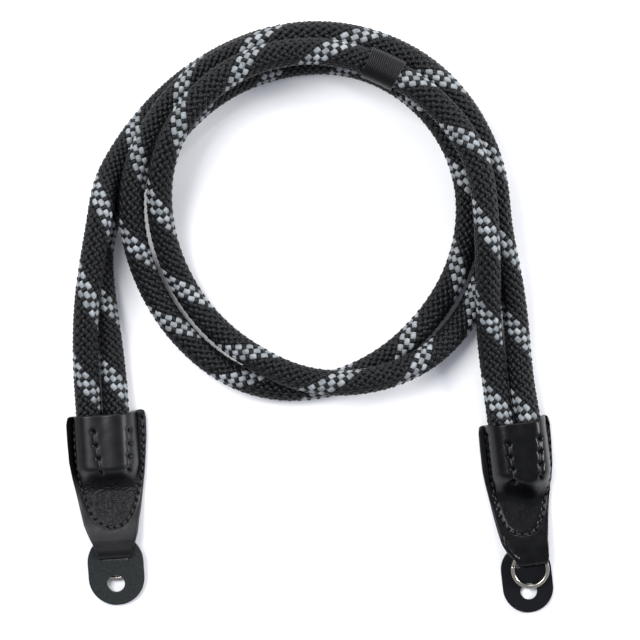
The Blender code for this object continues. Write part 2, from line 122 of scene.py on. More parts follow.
# %% A smooth curve through the points
def smooth_curve(points, count=6000):
    """Natural cubic spline: pieces p + s w + b w^2/2 + (b' - b) w^3/(6 h), whose bends b
    solve h0 b0 + 2 (h0 + h1) b1 + h1 b2 = 6 (slope1 - slope0), with none at the ends."""
    p = np.array(points, float)
    knots = np.concatenate([[0.0], np.cumsum(np.linalg.norm(np.diff(p, axis=0), axis=1) ** 0.5)])
    h = np.diff(knots)
    size = len(p)
    matrix = np.eye(size)
    right = np.zeros((size, 3))
    inner = np.arange(1, size - 1)
    matrix[inner, inner - 1] = h[:-1]
    matrix[inner, inner] = 2 * (h[:-1] + h[1:])
    matrix[inner, inner + 1] = h[1:]
    slopes = np.diff(p, axis=0) / h[:, None]
    right[1:-1] = 6 * np.diff(slopes, axis=0)
    bend = np.linalg.solve(matrix, right)
    u = np.linspace(0.0, knots[-1], count)
    k = np.clip(np.searchsorted(knots, u, side="right") - 1, 0, size - 2)
    w = (u - knots[k])[:, None]
    hk = h[k][:, None]
    start = slopes[k] - hk * (2 * bend[k] + bend[k + 1]) / 6
    return p[k] + start * w + bend[k] / 2 * w ** 2 + (bend[k + 1] - bend[k]) / (6 * hk) * w ** 3


def unit(vectors):
    """The same directions with length 1."""
    return vectors / np.linalg.norm(vectors, axis=-1, keepdims=True)


class Route:
    """A rope's centre line by distance along it, with its turn round the coil and its frame:
    side = along x Z, and up = side x along."""

    def __init__(self, left, coil, right):
        turn, radius, height = np.array(coil, float).T
        angle = np.radians(turn)
        x = COIL_X + radius * np.sin(angle)
        y = COIL_Y + radius * np.cos(angle)
        rows = np.concatenate([np.array(left), np.stack([x, y, height], axis=1), np.array(right)])
        first = rows[0] + (rows[0] - rows[1]) * RUN_ON
        last = rows[-1] + (rows[-1] - rows[-2]) * RUN_ON
        line = smooth_curve(np.concatenate([[first], rows, [last]]))
        in_left_half = np.arange(len(line)) < len(line) // 2
        end_y = np.where(in_left_half, LEFT_ROPE_END_Y, RIGHT_ROPE_END_Y)
        self.line = line[line[:, 1] > end_y]
        steps = np.linalg.norm(np.diff(self.line, axis=0), axis=1)
        self.along = np.concatenate([[0.0], np.cumsum(steps)])
        self.length = self.along[-1]
        away = self.line[:, :2] - (COIL_X, COIL_Y)
        self.turn = np.degrees(np.unwrap(np.arctan2(away[:, 0], away[:, 1])))

    def frame(self, s):
        """Centre, direction, side and up at the distances s."""
        centre = np.stack([np.interp(s, self.along, self.line[:, c]) for c in range(3)], axis=1)
        ahead = np.gradient(self.line, self.along, axis=0)
        ahead = unit(np.stack([np.interp(s, self.along, ahead[:, c]) for c in range(3)], axis=1))
        side = unit(np.cross(ahead, (0.0, 0.0, 1.0)))
        return centre, ahead, side, np.cross(side, ahead)

    def at_turn(self, turns):
        """Distance along the rope at turns round the coil."""
        return np.interp(turns, self.turn, self.along)


ROUTE_1 = Route(ROPE_1_LEFT, ROPE_1_COIL, ROPE_1_RIGHT)
ROUTE_2 = Route(ROPE_2_LEFT, ROPE_2_COIL, ROPE_2_RIGHT)
print("rope lengths", round(ROUTE_1.length, 3), round(ROUTE_2.length, 3), "m")

# %% [markdown]
# ## Helpers for meshes and materials
# Every new surface is a grid of points worked out as one array, so one helper turns a grid into
# faces and another puts points and faces into an object at the origin.


# %% Meshes from arrays
def grid_faces(rows, columns, closed=False, start=0):
    """Quads between neighbours: (r, c), (r, c+1), (r+1, c+1), (r+1, c). A closed grid goes
    round from its last column to its first."""
    r = np.arange(rows - 1)[:, None] * columns
    c = np.arange(columns if closed else columns - 1)[None, :]
    c2 = (c + 1) % columns
    quads = np.stack([r + c, r + c2, r + columns + c2, r + columns + c], axis=-1)
    return (quads.reshape(-1, 4) + start).tolist()


def tube_faces(rows, columns, start=0):
    """Faces of a closed tube of rings, with a flat cap at each end."""
    last = start + (rows - 1) * columns
    caps = [list(range(start + columns - 1, start - 1, -1)), list(range(last, last + columns))]
    return grid_faces(rows, columns, closed=True, start=start) + caps


def ring_round(first, second, sides):
    """Ring of offsets at every sample of a line: first cos a + second sin a, a round the turn."""
    angle = np.linspace(0, 2 * np.pi, sides, endpoint=False)[None, :, None]
    return first[:, None] * np.cos(angle) + second[:, None] * np.sin(angle)


def make_piece(name, points, faces, finish, uv=None):
    """Smooth object at the origin, with its place in its mesh, facing out."""
    mesh = bpy.data.meshes.new(name)
    mesh.from_pydata(np.asarray(points, float).reshape(-1, 3).tolist(), [], faces)
    if uv is not None:
        corner = np.zeros(len(mesh.loops), np.int32)
        mesh.loops.foreach_get("vertex_index", corner)
        layer = mesh.uv_layers.new(name="surface")
        layer.data.foreach_set("uv", np.asarray(uv, np.float32).reshape(-1, 2)[corner].ravel())
    work = bmesh.new()
    work.from_mesh(mesh)
    bmesh.ops.recalc_face_normals(work, faces=work.faces)
    work.to_mesh(mesh)
    work.free()
    mesh.polygons.foreach_set("use_smooth", np.full(len(mesh.polygons), True))
    mesh.materials.append(finish)
    piece = bpy.data.objects.new(name, mesh)
    bpy.context.scene.collection.objects.link(piece)
    return piece


def ease(low, high, value):
    """Smooth step: 3 t^2 - 2 t^3, with t from 0 at low to 1 at high."""
    t = np.clip((np.asarray(value, float) - low) / (high - low), 0.0, 1.0)
    return t * t * (3 - 2 * t)


# %% Nodes of a material
def linear(hex_code):
    """sRGB hex to linear light: c / 12.92, or ((c + 0.055) / 1.055)^2.4 above 0.04045."""
    code = hex_code.lstrip("#")
    parts = [int(code[i:i + 2], 16) / 255 for i in (0, 2, 4)]
    light = [c / 12.92 if c <= 0.04045 else ((c + 0.055) / 1.055) ** 2.4 for c in parts]
    return (*light, 1.0)


def add(tree, kind, inputs=None, **settings):
    """One node with its settings. An input takes a value, or a socket to link from."""
    node = tree.nodes.new(kind)
    for key, value in settings.items():
        setattr(node, key, value)
    for key, value in (inputs or {}).items():
        if isinstance(value, bpy.types.NodeSocket):
            tree.links.new(value, node.inputs[key])
        else:
            node.inputs[key].default_value = value
    return node


def start_material(name, colour, roughness, **sockets):
    """A Principled material and its tree and shader."""
    made = bpy.data.materials.new(name)
    made.use_nodes = True
    shader = made.node_tree.nodes["Principled BSDF"]
    shader.inputs["Base Color"].default_value = linear(colour)
    shader.inputs["Roughness"].default_value = roughness
    for key, value in sockets.items():
        shader.inputs[key.replace("_", " ")].default_value = value
    made.diffuse_color = linear(colour)
    return made, made.node_tree, shader


def add_noise(tree, place, scale, detail):
    """Value of a noise with scale cells to the metre."""
    inputs = {"Vector": place, "Scale": scale, "Detail": detail}
    return add(tree, "ShaderNodeTexNoise", inputs).outputs["Fac"]


def add_math(tree, operation, *values):
    """Result of one operation on values or sockets."""
    return add(tree, "ShaderNodeMath", dict(enumerate(values)), operation=operation).outputs[0]


def add_ramp(tree, value, low, dark, high, light):
    """Colour that goes from dark at low to light at high."""
    ramp = add(tree, "ShaderNodeValToRGB", {"Fac": value})
    for stop, position, colour in zip(ramp.color_ramp.elements, (low, high), (dark, light)):
        stop.position = position
        stop.color = linear(colour)
    return ramp.outputs["Color"]


def add_bump(tree, shader, height, strength, distance):
    """Relief of the surface, with distance in metres."""
    inputs = {"Height": height, "Strength": strength, "Distance": distance}
    bump = add(tree, "ShaderNodeBump", inputs)
    tree.links.new(bump.outputs["Normal"], shader.inputs["Normal"])


# %% [markdown]
# ## Braided yarn
# The rope is a round braid of twenty yarns, ten each way round. A yarn is a flat bundle of fine
# polyester filaments that runs at about 37 degrees to the rope and passes over one yarn and
# under the next. Most yarns are black. Three neighbours that turn the same way are light grey,
# and give one chequered band per turn of the braid.
# A pattern painted on a tube would look flat from close by, so every yarn is a mesh of its own.


# %% Yarn materials
def yarn_material(name, dark, light, roughness):
    """Filaments: a noise that is 2 mm long along the yarn and 0.12 mm fine across it, and
    patches 4 mm wide."""
    made, tree, shader = start_material(name, light, roughness, Specular_IOR_Level=0.22)
    place = add(tree, "ShaderNodeUVMap", uv_map="surface").outputs["UV"]
    stretched = add(tree, "ShaderNodeMapping", {"Vector": place, "Scale": (500.0, 8000.0, 1.0)})
    threads = add_noise(tree, stretched.outputs["Vector"], 1.0, 2.0)
    patches = add_noise(tree, place, 260.0, 1.0)
    mean = add_math(tree, "MULTIPLY", add_math(tree, "ADD", threads, patches), 0.5)
    tree.links.new(add_ramp(tree, mean, 0.35, dark, 0.62, light), shader.inputs["Base Color"])
    add_bump(tree, shader, threads, 0.5, 0.00012)
    return made


DARK_YARN = yarn_material("black_polyester_yarn", "#060607", "#141517", 0.42)
LIGHT_YARN = yarn_material("grey_polyester_yarn", "#5c6163", "#9fa4a7", 0.5)
CORE_CLOTH = start_material("braid_core_shadow", "#0b0b0c", 0.9)[0]

# %% Braid dimensions
YARNS_EACH_WAY = 10
BRAID_TURN = 36.5 * MM  # rope per turn of a yarn, past the first and the last band
YARN_MIDDLE = 4.36 * MM  # mean distance of a yarn's middle from the rope's centre line
YARN_LIFT = 0.42 * MM
WAVE_POWER = 0.55  # below 1 a yarn stays longer on top and crosses down faster
YARN_SPREAD = 0.06  # share by which a yarn is wider on top
DARK_HALVES = (1.04 * MM, 0.60 * MM)  # half width and half thickness of a yarn
LIGHT_HALVES = (1.18 * MM, 0.50 * MM)
SAMPLES_PER_WAVE = 5
# Half of a yarn's section, in half widths and half thicknesses, and its mirror image
SECTION_HALF = [(0.5, -0.6), (1.0, -0.15), (0.52, 0.62)]
YARN_SECTION = np.array(SECTION_HALF + [(0.0, 1.0)] + [(-x, z) for x, z in SECTION_HALF[::-1]])
# The pattern's own stretch along a yarn, and its shifts from yarn to yarn
UV_STRETCH = 1.35
UV_SHIFT = (0.37, 0.1)

# Light bands counted from the left end, and how many mm along the rope some of them lie on top
BANDS_1 = ((0, 35), (2, 108), (5, 205), (7, 284), (11, 418), (16, 603), (20, 740), (23, 853))
BANDS_2 = ((0, 36), (7, 262), (10, 371), (15, 552), (17, 618), (18, 661), (22, 809), (23, 845))


def braid_turns(bands):
    """Marks of distance and turn: a whole turn from band to band, BRAID_TURN long at the ends."""
    turn, at = np.array(bands, float).T
    at = at * MM
    turn = np.concatenate([[turn[0] - 2], turn, [turn[-1] + 2]])
    at = np.concatenate([[at[0] - 2 * BRAID_TURN], at, [at[-1] + 2 * BRAID_TURN]])
    return at, turn


def braid_yarns(route, bands, way, numbers, flat, halves):
    """Points and UVs of yarns that wind one way. A yarn's angle is way * turn + its share of the
    circle, its radius is middle + lift * way * cos(10 turn)^0.55, its section lies across it."""
    mark_s, mark_turn = braid_turns(bands)
    low = np.interp(0.0, mark_s, mark_turn)
    high = np.interp(route.length, mark_s, mark_turn)
    waves = YARNS_EACH_WAY * SAMPLES_PER_WAVE
    turn = np.arange(math.ceil(low * waves), math.floor(high * waves) + 1) / waves
    s = np.interp(turn, mark_turn, mark_s)
    centre, _, side, up = route.frame(s)
    wave = way * np.cos(2 * np.pi * YARNS_EACH_WAY * turn)
    wave = np.sign(wave) * np.abs(wave) ** WAVE_POWER
    wide, tall = flat(s)
    points, uvs, faces = [], [], []
    count = len(s)
    columns = len(YARN_SECTION)
    for n, number in enumerate(numbers):
        angle = np.pi / 2 + way * 2 * np.pi * turn + 2 * np.pi * number / YARNS_EACH_WAY
        out = side * (np.cos(angle) * wide)[:, None] + up * (np.sin(angle) * tall)[:, None]
        middle = centre + out * (YARN_MIDDLE + YARN_LIFT * wave)[:, None]
        along = unit(np.gradient(middle, axis=0))
        across = unit(np.cross(unit(out), along))
        normal = np.cross(along, across)
        width = halves[0] * (1 + YARN_SPREAD * wave)[:, None, None]
        x = YARN_SECTION[None, :, 0, None] * width
        z = YARN_SECTION[None, :, 1, None] * halves[1]
        points.append(middle[:, None] + across[:, None] * x + normal[:, None] * z)
        run = s[:, None] * UV_STRETCH + number * UV_SHIFT[0]
        round_it = np.arange(columns)[None, :] * halves[0] / 2 + number * UV_SHIFT[1]
        uvs.append(np.stack(np.broadcast_arrays(run, round_it), axis=-1))
        faces += tube_faces(count, columns, start=n * count * columns)
    return np.concatenate(points), np.concatenate(uvs), faces


# The pockets' pressure fades out between these distances from a rope's end, in metres
PRESS_FADE = (0.02, 0.06)
# Turns at which rope_1, slack on top of the coil, begins to flatten, is flat, and ends both
FLAT_TURNS = (285, 320, 425, 448)
# How much wider and how much lower a rope is there, as shares of a round one
POCKET_FLAT = (0.02, 0.01)
TOP_FLAT = (0.06, 0.03)


def between(a, b, c, d, value):
    """0 up to a, 1 from b to c, 0 from d on, and smooth between."""
    return ease(a, b, value) * (1 - ease(c, d, value))


def pressed_ends(route, s):
    """1 in both pockets and 0 between them."""
    near, far = PRESS_FADE
    return 1 - between(near, far, route.length - far, route.length - near, s)


def flatness_1(s):
    """Width and height of rope_1 as shares of a round one."""
    top = between(*ROUTE_1.at_turn(np.array(FLAT_TURNS)), s)
    ends = pressed_ends(ROUTE_1, s)
    return (1 + TOP_FLAT[0] * top + POCKET_FLAT[0] * ends,
            1 - TOP_FLAT[1] * top - POCKET_FLAT[1] * ends)


def flatness_2(s):
    """The same for rope_2, which is pressed only in the pockets."""
    ends = pressed_ends(ROUTE_2, s)
    return 1 + POCKET_FLAT[0] * ends, 1 - POCKET_FLAT[1] * ends


# %% The two ropes
CORE_RADIUS = 4.2 * MM
CORE_SIDES = 16
CORE_STEP = 2.4 * MM


def make_rope(name, route, bands, flat, whipping=()):
    """A dark core tube that is the declared cord, and its yarns as pieces on it."""
    s = np.linspace(0.0, route.length, int(route.length / CORE_STEP))
    centre, _, side, up = route.frame(s)
    wide, tall = flat(s)
    ring = ring_round(side * wide[:, None], up * tall[:, None], CORE_SIDES)
    points = centre[:, None] + CORE_RADIUS * ring
    core = make_piece(name + "_core", points, tube_faces(len(s), CORE_SIDES), CORE_CLOTH)
    for label, way, numbers, finish, halves in (
        ("light_yarns", 1, (-1, 0, 1), LIGHT_YARN, LIGHT_HALVES),
        ("right_yarns", 1, range(2, 9), DARK_YARN, DARK_HALVES),
        ("left_yarns", -1, range(YARNS_EACH_WAY), DARK_YARN, DARK_HALVES),
    ):
        points, uvs, faces = braid_yarns(route, bands, way, numbers, flat, halves)
        yarns = make_piece(f"{name}_{label}", points, faces, finish, uvs)
        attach(yarns, "root")
        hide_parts(name)
    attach(core, "root")
    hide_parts(name)


# %% [markdown]
# ## Whipping
# One rope is bound with waxed thread: seventeen turns side by side, pulled tight.
# It is one long thread, so it is made as one helix whose round section is carried along it.

# %% Whipping thread
WHIP_SPAN = (377.3, 389.6)  # turns of rope_1 round the coil, in degrees
WHIP_TURNS = 17
WHIP_STEPS = 28  # rings of the thread's mesh per turn
WHIP_RADIUS = 5.62 * MM
WHIP_FLAT = (1.1, 0.99)  # width and height of a turn, as shares of a round one
THREAD_RADIUS = 0.43 * MM


def helix_tube(centre, side, up, radius, turns, thread, sides=6):
    """Tube of round section on a helix: centre + radius (side cos a + up sin a), with
    a = 2 pi turns t."""
    angle = np.linspace(0, 2 * np.pi * turns, len(centre))
    out = side * np.cos(angle)[:, None] + up * np.sin(angle)[:, None]
    middle = centre + out * radius
    along = unit(np.gradient(middle, axis=0))
    return middle[:, None] + thread * ring_round(out, np.cross(along, out), sides)


def thread_material():
    """Waxed thread: black, a soft shine, and its twist as a noise 0.4 mm fine."""
    made, tree, shader = start_material(
        "waxed_black_thread", "#0c0c0e", 0.36, Specular_IOR_Level=0.3)
    place = add(tree, "ShaderNodeTexCoord").outputs["Object"]
    twist = add_noise(tree, place, 2500.0, 2.0)
    colour = add_ramp(tree, twist, 0.35, "#040405", 0.7, "#101012")
    tree.links.new(colour, shader.inputs["Base Color"])
    add_bump(tree, shader, twist, 0.4, 0.0001)
    return made


THREAD = thread_material()


def make_whipping():
    """The thread round rope_1, flattened as the rope is."""
    span = ROUTE_1.at_turn(np.array(WHIP_SPAN))
    count = WHIP_TURNS * WHIP_STEPS
    centre, _, side, up = ROUTE_1.frame(np.linspace(span[0], span[1], count))
    wide, tall = WHIP_FLAT
    rings = helix_tube(centre, side * wide, up * tall, WHIP_RADIUS, WHIP_TURNS, THREAD_RADIUS)
    piece = make_piece("whipping_thread", rings, tube_faces(count, rings.shape[1]), THREAD)
    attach(piece, "root")
    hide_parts("whipping")
    print("whipping", round((span[1] - span[0]) * 1000, 1), "mm long")
    return piece


make_rope("rope_1", ROUTE_1, BANDS_1, flatness_1, [make_whipping()])
make_rope("rope_2", ROUTE_2, BANDS_2, flatness_2)

# %% [markdown]
# ## Leather tabs
# Each tab is one strip of leather, 1.5 mm thick, that runs from the pocket's mouth over the two
# ropes, flat to the neck, round the split ring and back underneath. So it is one folded sheet:
# a middle surface is worked out first, and the two faces lie half a thickness to each side of it.
# Across the tab the columns are crowded near the edges, where the faces round off to meet.

# %% Sizes of the two tabs, in millimetres
# A place on a tab is (across, along): from its middle line, and from its mouth to its fold.
# Outline rows: share of the length, then left and right edge as shares of the half width.
LEFT_TAB = {
    "name": "left", "mouth": (-83.3, 39.4), "turn": 3.6, "length": 58.6, "half": 16.4,
    "outline": (
        (0.0, 0.96, 0.97), (0.03, 1.0, 1.0), (0.15, 1.0, 0.985), (0.31, 0.985, 0.925),
        (0.42, 0.93, 0.875), (0.52, 0.86, 0.815), (0.64, 0.78, 0.745), (0.75, 0.70, 0.66),
        (0.82, 0.61, 0.62), (0.89, 0.50, 0.54), (0.95, 0.43, 0.46), (1.0, 0.40, 0.42)),
    "hump": {"middle": -0.8, "left": 11.8, "right": 13.0, "power_left": 5.6, "power_right": 4.2,
             "end": 24.6, "fall": 4.2, "bulge": 0.4, "bulge_at": 0.0, "dip": 0.35},
    "mouth_edge": (
        (-16.6, 1.4), (-15.9, 0.1), (-15.0, -0.5), (-10.0, -0.8), (9.0, -0.9), (12.0, -1.5),
        (14.5, -2.0), (15.8, -1.5), (16.6, 0.4)),
    "edge_rows": ((
        (-13.0, 1.6), (-13.4, 9.8), (-13.3, 15.6), (-12.6, 23.8), (-11.4, 30.2), (-9.8, 36.6),
        (-8.0, 40.2), (-5.3, 43.2), (-2.5, 44.9), (0.3, 45.7), (3.8, 44.9), (6.6, 42.6),
        (8.8, 39.2), (10.4, 35.0), (12.0, 30.0), (13.3, 24.5), (14.3, 17.4), (14.7, 11.6),
        (14.6, 3.0)),),
    "pocket_rows": (((-4.6, 6.1), (-4.1, 11.5), (-3.3, 17.3), (-2.5, 22.2)),
                    ((9.5, 6.2), (9.3, 11.0), (8.9, 17.0), (8.4, 21.8))),
    "grain_in": 1.0, "curl": 0.0, "flank_shade": 0.9,
    "ring_along": 59.6, "ring_across": 0.2, "ring_height": 2.10,
}
RIGHT_TAB = {
    "name": "right", "mouth": (83.6, 35.7), "turn": 7.0, "length": 58.2, "half": 14.6,
    "outline": (
        (0.0, 0.965, 1.0), (0.03, 1.0, 1.02), (0.15, 1.015, 1.0), (0.30, 1.02, 0.955),
        (0.40, 0.985, 0.88), (0.46, 0.95, 0.80), (0.52, 0.92, 0.76), (0.64, 0.86, 0.67),
        (0.75, 0.79, 0.60), (0.82, 0.735, 0.56), (0.88, 0.62, 0.545), (0.94, 0.44, 0.53),
        (1.0, 0.31, 0.46)),
    "hump": {"middle": 0.2, "left": 11.8, "right": 12.5, "power_left": 3.4, "power_right": 7.0,
             "end": 23.8, "fall": 5.0, "bulge": 2.8, "bulge_at": 3.5, "dip": 0.3},
    "mouth_edge": (
        (-15.2, 1.2), (-14.2, -0.6), (-13.0, -1.3), (-10.0, -1.3), (9.5, -0.9), (11.0, -1.6),
        (12.8, -2.8), (14.2, -2.2), (15.2, 0.4)),
    "edge_rows": ((
        (-11.2, 3.4), (-11.5, 10.6), (-11.5, 16.7), (-11.6, 22.0), (-11.2, 27.0), (-10.6, 31.6),
        (-9.7, 36.9), (-8.2, 41.0), (-5.9, 43.5), (-2.6, 44.7), (2.1, 44.4), (5.0, 42.2),
        (7.2, 37.6), (8.8, 32.2), (10.6, 27.0), (11.9, 22.4), (13.0, 17.3), (13.7, 11.0),
        (13.9, 3.0)),),
    "pocket_rows": (((-3.5, 7.1), (-3.6, 12.6), (-3.1, 18.4), (-2.9, 22.2)),
                    ((9.1, 6.4), (8.7, 12.0), (8.3, 17.0), (7.7, 21.6))),
    "grain_in": 0.15, "curl": 1.3, "flank_shade": 0.0,
    "ring_along": 59.4, "ring_across": -0.5, "ring_height": 3.80,
}
TABS = (LEFT_TAB, RIGHT_TAB)

LEATHER = 1.5  # thickness of one layer
FLANGE = 3.0  # height of the two layers where they lie on each other
POCKET_RISE = 11.2
LOOP_TOP = 7.6  # height of the fold round the ring
LOOP_RISE = 20.0  # length over which the neck rises to it
NECK_END = 7.8  # distance of the rise's end from the fold
NECK_SWING = 0.6  # share of a full S in the rise
EDGE_ROUND = 0.55
FACE_GAP = 0.03
NARROWING = (19.0, 27.0, 0.10)  # the pocket narrows from here to here by this share
SHOULDER_POWER = 0.7
BULGE_WIDE = 5.0
FALL_SPAN = 2.6  # length of the fall, in lengths "fall" of the hump
DIP_WIDE = 2.6


def to_world(tab, across, along, height):
    """Points in metres: mouth + turned (across, -along), with x = X + a cos t + u sin t."""
    turn = math.radians(tab["turn"])
    x = tab["mouth"][0] + across * math.cos(turn) + along * math.sin(turn)
    y = tab["mouth"][1] + across * math.sin(turn) - along * math.cos(turn)
    return np.stack(np.broadcast_arrays(x, y, height), axis=-1) * MM


def edges(tab, along):
    """Left and right edge of the tab at a distance along it."""
    share, left, right = np.array(tab["outline"]).T
    at = np.asarray(along) / tab["length"]
    return -np.interp(at, share, left) * tab["half"], np.interp(at, share, right) * tab["half"]


def hump(tab, across, along):
    """Rise of the leather over the ropes: (1 - s^p)^0.7 across, s = distance / half width,
    times the fall (0.5 + 0.5 cos(pi t^0.85))^1.2 along, less a shallow dip between the ropes."""
    h = tab["hump"]
    away = across - h["middle"]
    start, stop, share = NARROWING
    narrow = 1 - share * ease(start, stop, along)
    s = np.where(away < 0, -away / h["left"], away / h["right"]) / narrow
    power = np.where(away < 0, h["power_left"], h["power_right"])
    over = np.clip(1 - np.clip(s, 0, 1) ** power, 0, 1) ** SHOULDER_POWER
    end = h["end"] + h["bulge"] * np.exp(-((across - h["bulge_at"]) / BULGE_WIDE) ** 2)
    t = np.clip((along - end + h["fall"]) / (FALL_SPAN * h["fall"]), 0, 1)
    fall = (0.5 + 0.5 * np.cos(np.pi * t ** 0.85)) ** 1.2
    dip = h["dip"] * np.exp(-(away / DIP_WIDE) ** 2) * (1 - 0.5 * ease(0.0, 6.0, along))
    return over * fall * (POCKET_RISE - dip)


# %% Stitch lines, creases, a curled edge and painted shade on the leather
STITCH_RADIUS = 0.28
GROOVE_WIDE = 0.8
CREASE_DEPTH = 0.34

# Painted shade on the left side of the pocket: black and without gloss outside these distances from
# the middle line, fading in between them, and along the tab up to here, fading out
FLANK_SHADE_ACROSS = (8.2, 10.6)
FLANK_SHADE_ALONG = (22.0, 30.0)

# A curled edge stands highest this far in from the cut edge, is this wide, and runs along here
CURL_IN = 1.3
CURL_WIDE = 0.9
CURL_ALONG = (44.0, 48.0, 52.0, 56.0)

# The two kinds of rows: their name, groove depth, pit depth, pit width squared and pitch
ROW_KINDS = (("edge_rows", 0.30, 0.5, 0.25, 3.0), ("pocket_rows", 0.35, 0.8, 0.75, 5.3))


def holes_of(row, pitch):
    """Stitch holes at an even pitch along a line of points."""
    row = np.array(row, float)
    run = np.concatenate([[0.0], np.cumsum(np.linalg.norm(np.diff(row, axis=0), axis=1))])
    count = max(2, int(round(run[-1] / pitch)) + 1)
    at = np.linspace(0.0, run[-1], count)
    return np.stack([np.interp(at, run, row[:, 0]), np.interp(at, run, row[:, 1])], axis=1)


def near_row(row, across, along):
    """Distance from every point to a line of points, by its nearest stretch."""
    row = np.array(row, float)
    best = np.full(np.shape(across), 1e9)
    for (x0, u0), (x1, u1) in zip(row[:-1], row[1:]):
        dx, du = x1 - x0, u1 - u0
        t = np.clip(((across - x0) * dx + (along - u0) * du) / (dx * dx + du * du), 0, 1)
        best = np.minimum(best, np.hypot(across - x0 - t * dx, along - u0 - t * du))
    return best


def press(tab, across, along):
    """How far stitches pull the top face down: a groove exp(-(d/w)^2) and a pit at each hole."""
    down = np.zeros(np.shape(across))
    for rows, groove, pit, wide, pitch in ROW_KINDS:
        for row in tab[rows]:
            down = down + groove * np.exp(-(near_row(row, across, along) / GROOVE_WIDE) ** 2)
            for x, u in holes_of(row, pitch):
                down = down + pit * np.exp(-(((across - x) ** 2 + (along - u) ** 2) / wide))
    return down


def creases(across, along):
    """Folds of the grain some 1.5 mm apart, 0 to 1: two sines, bent by slower ones."""
    bend = 1.1 * np.sin(0.8 * across + 0.6 * along) + 0.7 * np.sin(1.9 * across - 0.7 * along)
    down = np.sin(2 * np.pi * (along + 0.55 * across) / 1.6 + bend)
    turn = 1.6 * np.sin(0.9 * along + 0.4 * across)
    over = np.sin(2 * np.pi * (across - 0.3 * along) / 1.7 + turn)
    return 0.5 + 0.38 * down + 0.12 * over


def skew(tab, across, along):
    """Shape of the mouth's edge: along moves by the mouth_edge table and fades down the tab."""
    at, move = np.array(tab["mouth_edge"]).T
    return np.interp(across, at, move) * (1 - ease(0.0, 9.0, along))


def painted_hole_shade(tab, across, along):
    """Painted shade in the stitch holes: 1 at the middle of a stitch hole, 0 some 0.8 mm from it.
    """
    seen = np.zeros(np.shape(across))
    for rows, _, _, wide, pitch in ROW_KINDS:
        for row in tab[rows]:
            for x, u in holes_of(row, pitch):
                seen = np.maximum(seen, np.exp(-((across - x) ** 2 + (along - u) ** 2) / wide))
    return seen


def unpressed_top(tab, across, along):
    """Upper face without its stitches: flange, hump, curl and neck, which rises as
    t - 0.6 sin(2 pi t) / (2 pi)."""
    t = np.clip((along - tab["length"] + NECK_END + LOOP_RISE) / LOOP_RISE, 0, 1)
    neck = (LOOP_TOP - FLANGE) * (t - np.sin(2 * np.pi * t) / (2 * np.pi) * NECK_SWING)
    from_left = across - edges(tab, along)[0]
    curl = tab["curl"] * np.exp(-((from_left - CURL_IN) / CURL_WIDE) ** 2)
    return FLANGE + hump(tab, across, along) + neck + curl * between(*CURL_ALONG, along)


def top_height(tab, across, along):
    """Upper face of the upper layer, with its stitches pulled in."""
    return unpressed_top(tab, across, along) - press(tab, across, along)


def signed_inside(tab, across, along):
    """Distance to the edge stitches, positive between them and below the pocket."""
    row = np.array(tab["edge_rows"][0])
    turn_at = int(np.argmax(row[:, 1]))
    left = np.interp(along, row[:turn_at + 1, 1], row[:turn_at + 1, 0])
    right = np.interp(along, row[turn_at:, 1][::-1], row[turn_at:, 0][::-1])
    gap = np.minimum(np.minimum(across - left, right - across), row[turn_at, 1] - along)
    return np.minimum(gap, (along - tab["hump"]["end"] - 1.0) * 0.6)


# %% One folded sheet
TOP_ROWS = 150
NOSE_ROWS = 18
UNDER_ROWS = 60
COLUMNS = 70
MOUTH_STEPS = (0.0, 0.06, 0.2, 0.45)
FIRST_ROW = 0.8  # where the even rows begin, past the steps at the mouth
EDGE_STEPS = np.array([0.0, 0.05, 0.15, 0.3, 0.5, 0.8])


def columns(left, right):
    """Places across: close together near the edges, even between them, and their edge distance."""
    middle = np.linspace(0.0, 1.0, COLUMNS)[None, :]
    low = left[:, None] + EDGE_STEPS[None, :]
    high = right[:, None] - EDGE_STEPS[None, ::-1]
    inner = low[:, -1:] + (high[:, :1] - low[:, -1:]) * middle[:, 1:-1]
    across = np.concatenate([low, inner, high], axis=1)
    return across, np.minimum(across - left[:, None], right[:, None] - across)


def rounded(distance):
    """Share of the thickness at a distance from a rounded edge: sqrt(1 - (1 - d / r)^2)."""
    away = 1 - np.clip(distance / EDGE_ROUND, 0, 1)
    return np.sqrt(np.clip(1 - away ** 2, 0.02, 1))


def thick_sheet(middle, half, push):
    """Two faces at middle +- normal * half, joined round the rim. push moves only the upper one."""
    rows, cols = half.shape
    down = np.gradient(middle, axis=0)
    over = np.gradient(middle, axis=1)
    normal = unit(np.cross(down, over))
    upper = middle + normal * half[..., None] - normal * push[..., None]
    lower = middle - normal * half[..., None]
    points = np.concatenate([upper.reshape(-1, 3), lower.reshape(-1, 3)])
    size = rows * cols
    faces = grid_faces(rows, cols) + grid_faces(rows, cols, start=size)
    grid = np.arange(size).reshape(rows, cols)
    rim = np.concatenate([grid[0], grid[1:, -1], grid[-1, -2::-1], grid[-2:0:-1, 0]])
    after = np.roll(rim, -1)
    faces += np.stack([rim, after, after + size, rim + size], axis=1).tolist()
    return points, faces


